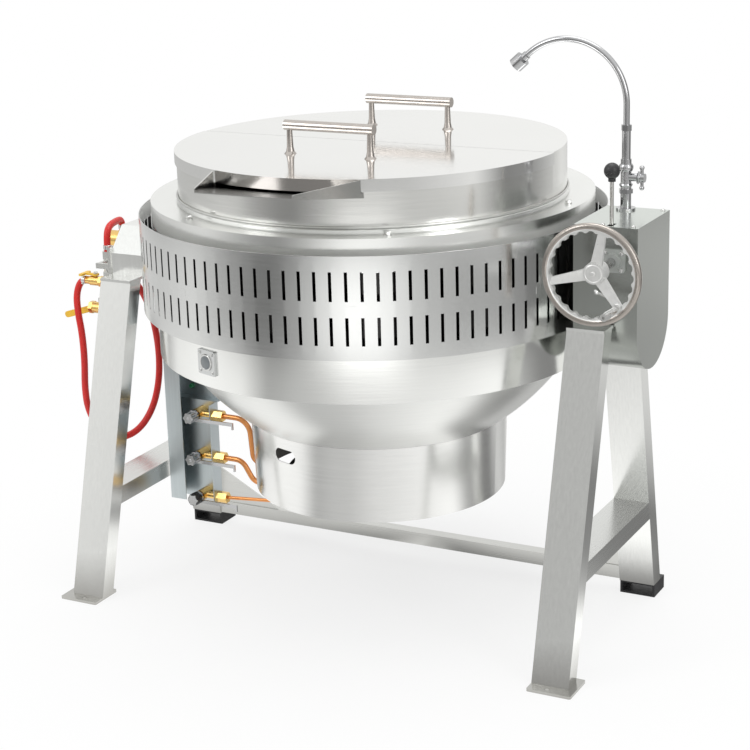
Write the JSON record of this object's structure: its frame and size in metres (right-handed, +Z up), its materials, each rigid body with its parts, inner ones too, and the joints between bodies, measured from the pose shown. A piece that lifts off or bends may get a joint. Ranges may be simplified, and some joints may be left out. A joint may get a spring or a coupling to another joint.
{
  "type": "tilting jacketed cooking kettle",
  "caption": "Round jacketed kettle that tips forward on trunnions in an A-frame, with a worm-gear handwheel, a split lid, a pouring spout, a gas burner and a swan-neck water tap.",
  "frame": {"origin": "on the floor, straight below the upright kettle's own axis", "axes": "+X along the trunnions to the handwheel side, -Y the pouring side, +Z up"},
  "size_m": [1.4952, 1.0683, 1.2445],
  "materials": {
    "frame": "brushed along the legs",
    "shell": "satin brushed",
    "slotted_sheet": "satin grey",
    "cover_sheet": "brushed sheet",
    "lid_sheet": "fine brushed",
    "polished_steel": "polished",
    "chrome": "polished",
    "cast_iron": "dark cast",
    "cast_aluminium": "polished casting",
    "black_plastic": "matte black",
    "lock_steel": "plain rod with a black ball",
    "worm_steel": "ground and oiled",
    "bronze": "machined bronze",
    "brass": "machined brass",
    "pipe": "plain pipe",
    "copper": "bright copper",
    "yellow_paint": "yellow paint",
    "hose_rubber": "red rubber",
    "port_plate": "plate with a dull round window"
  },
  "bodies": {
    "frame": {"leg_front_left": "frame", "leg_front_right": "frame", "leg_rear_left": "frame", "leg_rear_right": "frame", "side_rail_left": "frame", "side_rail_right": "frame", "cross_beam": "frame", "foot_plate_left": "frame", "foot_plate_right": "frame", "foot_block_left": "black_plastic", "foot_block_right": "black_plastic", "top_plate_left": "frame", "top_plate_right": "frame", "bearing_left": "cast_iron", "bearing_right": "cast_iron", "bearing_cover": "cover_sheet", "gearbox_cover": "cover_sheet", "gear_bracket": "cover_sheet", "worm_flange": "cast_aluminium", "tap_body": "chrome", "gas_manifold": "pipe", "main_valve": "brass", "branch_valve": "brass", "rotary_union": "brass", "hose_jumper": "hose_rubber", "hose_loop": "hose_rubber"},
    "kettle": {"inner_pot": "shell", "jacket": "shell", "rim_ring": "shell", "shroud": "slotted_sheet", "burner_skirt": "shell", "burner": "cast_iron", "spout": "shell", "trunnion_left": "polished_steel", "trunnion_right": "polished_steel", "worm_wheel": "bronze", "valve_panel": "shell", "valve_upper": "brass", "valve_middle": "brass", "valve_pilot": "brass", "tube_upper": "copper", "tube_middle": "copper", "tube_pilot": "copper", "sight_port": "port_plate"},
    "handwheel": {"handwheel": "cast_aluminium", "worm_shaft": "worm_steel"},
    "crank_grip": {"crank_grip": "polished_steel"},
    "lid_front": {"lid_front": "lid_sheet", "handle_front": "polished_steel"},
    "lid_rear": {"lid_rear": "lid_sheet", "handle_rear": "polished_steel"},
    "lock_lever": {"lock_lever": "lock_steel"},
    "tap_lever": {"tap_lever": "chrome"},
    "swan_neck": {"swan_neck": "chrome", "spray_nozzle": "chrome"},
    "main_valve_lever": {"main_valve_lever": "yellow_paint"},
    "branch_valve_handle": {"branch_valve_handle": "yellow_paint"},
    "lever_upper": {"lever_upper": "chrome"},
    "lever_middle": {"lever_middle": "chrome"},
    "lever_pilot": {"lever_pilot": "chrome"}
  },
  "joints": [
    {"name": "kettle_tilt", "type": "hinge", "parent": "frame", "child": "kettle", "pos_m": [0, -0.01, 0.745], "axis": [1, 0, 0], "range_deg": [0, 90]},
    {"name": "handwheel_turn", "type": "hinge", "parent": "frame", "child": "handwheel", "pos_m": [0.602, -0.256, 0.829], "axis": [0, 1, 0], "range_deg": [0, 2700]},
    {"name": "grip_spin", "type": "hinge", "parent": "handwheel", "child": "crank_grip", "pos_m": [0.6562, -0.3, 0.76881], "axis": [0, 1, 0], "continuous": true},
    {"name": "front_lid_lift", "type": "slide", "parent": "kettle", "child": "lid_front", "axis": [0, 0, 1], "range_m": [0, 0.12]},
    {"name": "rear_lid_lift", "type": "slide", "parent": "kettle", "child": "lid_rear", "axis": [0, 0, 1], "range_m": [0, 0.1]},
    {"name": "lock_lever_swing", "type": "hinge", "parent": "frame", "child": "lock_lever", "pos_m": [0.5885, -0.112, 0.85], "axis": [1, 0, 0], "range_deg": [-3.5, 3.5]},
    {"name": "tap_lever_turn", "type": "hinge", "parent": "frame", "child": "tap_lever", "pos_m": [0.598, 0.035, 0.963], "axis": [1, 0, 0], "range_deg": [0, 90]},
    {"name": "swan_neck_swing", "type": "hinge", "parent": "frame", "child": "swan_neck", "pos_m": [0.564, 0.035, 1], "axis": [0, 0, 1], "range_deg": [-90, 45]},
    {"name": "main_valve_turn", "type": "hinge", "parent": "frame", "child": "main_valve_lever", "pos_m": [-0.678, -0.073, 0.6], "axis": [0, 1, 0], "range_deg": [0, 90]},
    {"name": "branch_valve_turn", "type": "hinge", "parent": "frame", "child": "branch_valve_handle", "pos_m": [-0.678, -0.097, 0.679], "axis": [0, 0, 1], "range_deg": [0, 90]},
    {"name": "upper_valve_turn", "type": "hinge", "parent": "kettle", "child": "lever_upper", "pos_m": [-0.427, -0.11, 0.369], "axis": [0, 1, 0], "range_deg": [-45, 0]},
    {"name": "middle_valve_turn", "type": "hinge", "parent": "kettle", "child": "lever_middle", "pos_m": [-0.427, -0.11, 0.268], "axis": [0, 1, 0], "range_deg": [-45, 0]},
    {"name": "pilot_valve_turn", "type": "hinge", "parent": "kettle", "child": "lever_pilot", "pos_m": [-0.427, -0.11, 0.17], "axis": [0, 1, 0], "range_deg": [-45, 0]}
  ],
  "couplings": [
    {"joint": "handwheel_turn", "follows": "kettle_tilt", "ratio": 30}
  ]
}
